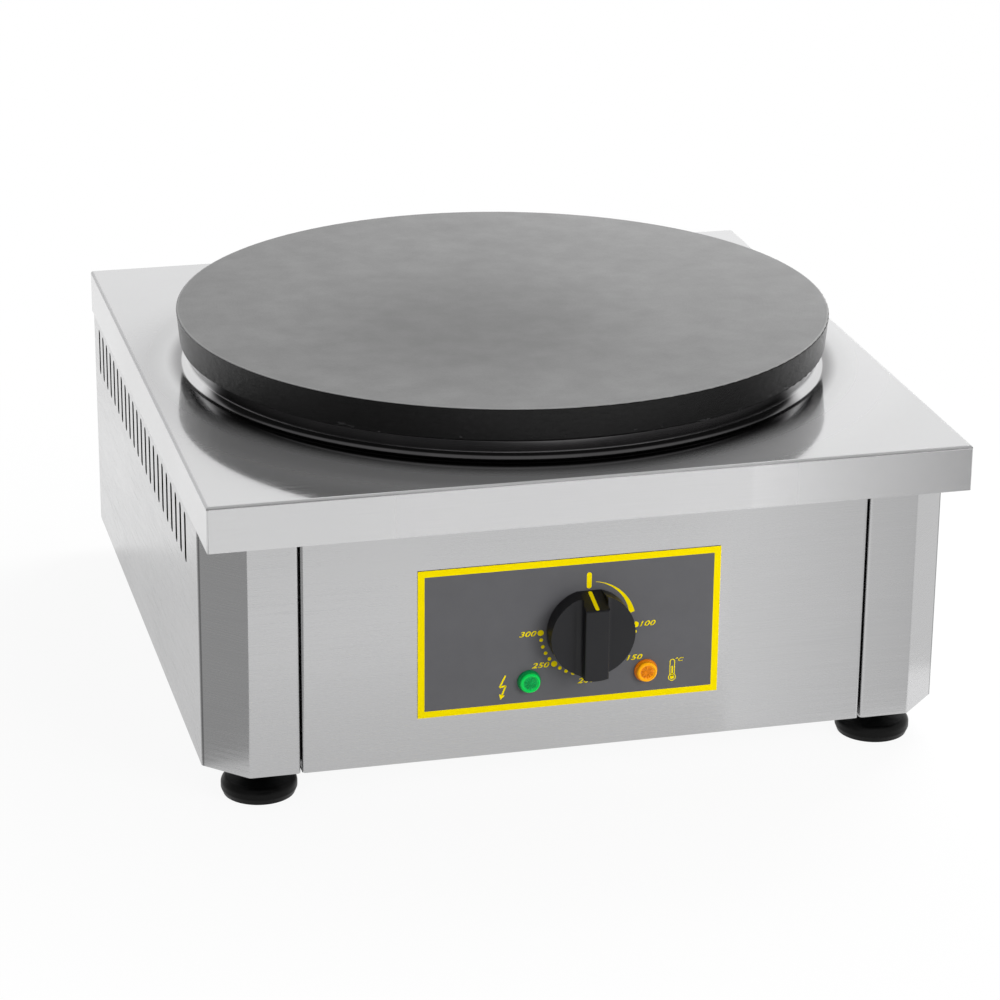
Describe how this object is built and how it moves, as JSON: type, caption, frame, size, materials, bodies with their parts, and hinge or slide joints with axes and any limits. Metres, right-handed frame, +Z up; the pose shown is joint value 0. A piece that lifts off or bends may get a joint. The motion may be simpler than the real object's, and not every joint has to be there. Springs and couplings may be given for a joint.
{
  "type": "electric crepe maker",
  "caption": "Countertop electric crepe maker: round cast-iron griddle plate over a vented square steel housing, with a thermostat knob, pilot lamps and levelling feet.",
  "frame": {"origin": "on the ground, under the middle of the overall outline", "axes": "+X to the operator's right, +Y to the back (the controls face -Y), +Z up, out of the griddle face"},
  "size_m": [0.45, 0.4704, 0.2315],
  "materials": {
    "cast_iron_plate": "machined top, rough cast rim, seasoned",
    "tray_steel": "finely brushed, close to polished",
    "panel_steel": "satin brushed",
    "base_steel": "galvanised sheet",
    "element_sheath": "heat-tinted sheath",
    "fastener_steel": "zinc plated",
    "mineral_wool": "compressed mineral wool",
    "foot_plastic": "moulded black",
    "faceplate_film": "grey printed film with a yellow border",
    "lamp_black": "moulded black",
    "lens_green": "translucent green",
    "lens_amber": "translucent amber",
    "thermostat_plastic": "moulded off-white",
    "contact_brass": "bright",
    "knob_plastic": "moulded black",
    "pointer_yellow": "yellow inlay",
    "copper_tube": "drawn copper",
    "gland_plastic": "moulded black",
    "lead_sleeve": "glass-braided silicone sleeve",
    "earth_sleeve": "green and yellow sleeve"
  },
  "bodies": {
    "housing": {"back_panel": "panel_steel", "back_screws": "fastener_steel", "base_plate": "base_steel", "base_screws": "fastener_steel", "bonding_nuts": "contact_brass", "bonding_stud": "contact_brass", "bridge_straps": "base_steel", "bulb_saddles": "base_steel", "cable_gland": "gland_plastic", "capillary": "copper_tube", "cheek_left": "panel_steel", "cheek_right": "panel_steel", "clamp_studs_long": "fastener_steel", "clamp_studs_short": "fastener_steel", "collar": "tray_steel", "cross_rail_front": "base_steel", "cross_rail_rear": "base_steel", "earth_lead": "earth_sleeve", "element_clamp": "base_steel", "element_inner": "element_sheath", "element_middle": "element_sheath", "element_outer": "element_sheath", "element_pins": "element_sheath", "faceplate": "faceplate_film", "foot_nuts": "fastener_steel", "front_panel": "panel_steel", "gland_cap": "gland_plastic", "gland_nut": "gland_plastic", "griddle_plate": "cast_iron_plate", "heat_shield": "base_steel", "insulation_pad": "mineral_wool", "lamp_body_amber": "lamp_black", "lamp_body_green": "lamp_black", "lamp_leads": "lead_sleeve", "lamp_lens_amber": "lens_amber", "lamp_lens_green": "lens_green", "lamp_nuts": "fastener_steel", "pillar_nuts": "fastener_steel", "plate_pillars": "fastener_steel", "power_leads": "lead_sleeve", "sensing_bulb": "copper_tube", "stud_nuts": "fastener_steel", "terminal_block": "thermostat_plastic", "terminal_inserts": "contact_brass", "terminal_screws": "fastener_steel", "thermostat_body": "thermostat_plastic", "thermostat_screws": "fastener_steel", "thermostat_tabs": "contact_brass", "top_tray": "tray_steel"},
    "knob": {"knob": "knob_plastic", "knob_pointer": "pointer_yellow", "spindle": "fastener_steel"},
    "foot_front_left": {"foot_pad_front_left": "foot_plastic"},
    "stud_front_left": {"foot_stud_front_left": "fastener_steel"},
    "foot_front_right": {"foot_pad_front_right": "foot_plastic"},
    "stud_front_right": {"foot_stud_front_right": "fastener_steel"},
    "foot_rear_left": {"foot_pad_rear_left": "foot_plastic"},
    "stud_rear_left": {"foot_stud_rear_left": "fastener_steel"},
    "foot_rear_right": {"foot_pad_rear_right": "foot_plastic"},
    "stud_rear_right": {"foot_stud_rear_right": "fastener_steel"}
  },
  "joints": [
    {"name": "knob_turn", "type": "hinge", "parent": "housing", "child": "knob", "pos_m": [0, -0.21465, 0.0964], "axis": [0, 1, 0], "range_deg": [0, 270]},
    {"name": "foot_front_left_slide", "type": "slide", "parent": "housing", "child": "foot_front_left", "axis": [0, 0, 1], "range_m": [-0.0081, 0.0036]},
    {"name": "foot_front_left_turn", "type": "hinge", "parent": "foot_front_left", "child": "stud_front_left", "pos_m": [-0.1895, -0.18465, 0.02], "axis": [0, 0, 1], "range_deg": [-1920, 840]},
    {"name": "foot_front_right_slide", "type": "slide", "parent": "housing", "child": "foot_front_right", "axis": [0, 0, 1], "range_m": [-0.0081, 0.0036]},
    {"name": "foot_front_right_turn", "type": "hinge", "parent": "foot_front_right", "child": "stud_front_right", "pos_m": [0.1895, -0.18465, 0.02], "axis": [0, 0, 1], "range_deg": [-1920, 840]},
    {"name": "foot_rear_left_slide", "type": "slide", "parent": "housing", "child": "foot_rear_left", "axis": [0, 0, 1], "range_m": [-0.0081, 0.0036]},
    {"name": "foot_rear_left_turn", "type": "hinge", "parent": "foot_rear_left", "child": "stud_rear_left", "pos_m": [-0.1895, 0.17735, 0.02], "axis": [0, 0, 1], "range_deg": [-1920, 840]},
    {"name": "foot_rear_right_slide", "type": "slide", "parent": "housing", "child": "foot_rear_right", "axis": [0, 0, 1], "range_m": [-0.0081, 0.0036]},
    {"name": "foot_rear_right_turn", "type": "hinge", "parent": "foot_rear_right", "child": "stud_rear_right", "pos_m": [0.1895, 0.17735, 0.02], "axis": [0, 0, 1], "range_deg": [-1920, 840]}
  ],
  "couplings": [
    {"joint": "foot_front_left_slide", "follows": "foot_front_left_turn", "m_per_rad": 0.00023873},
    {"joint": "foot_front_right_slide", "follows": "foot_front_right_turn", "m_per_rad": 0.00023873},
    {"joint": "foot_rear_left_slide", "follows": "foot_rear_left_turn", "m_per_rad": 0.00023873},
    {"joint": "foot_rear_right_slide", "follows": "foot_rear_right_turn", "m_per_rad": 0.00023873}
  ]
}
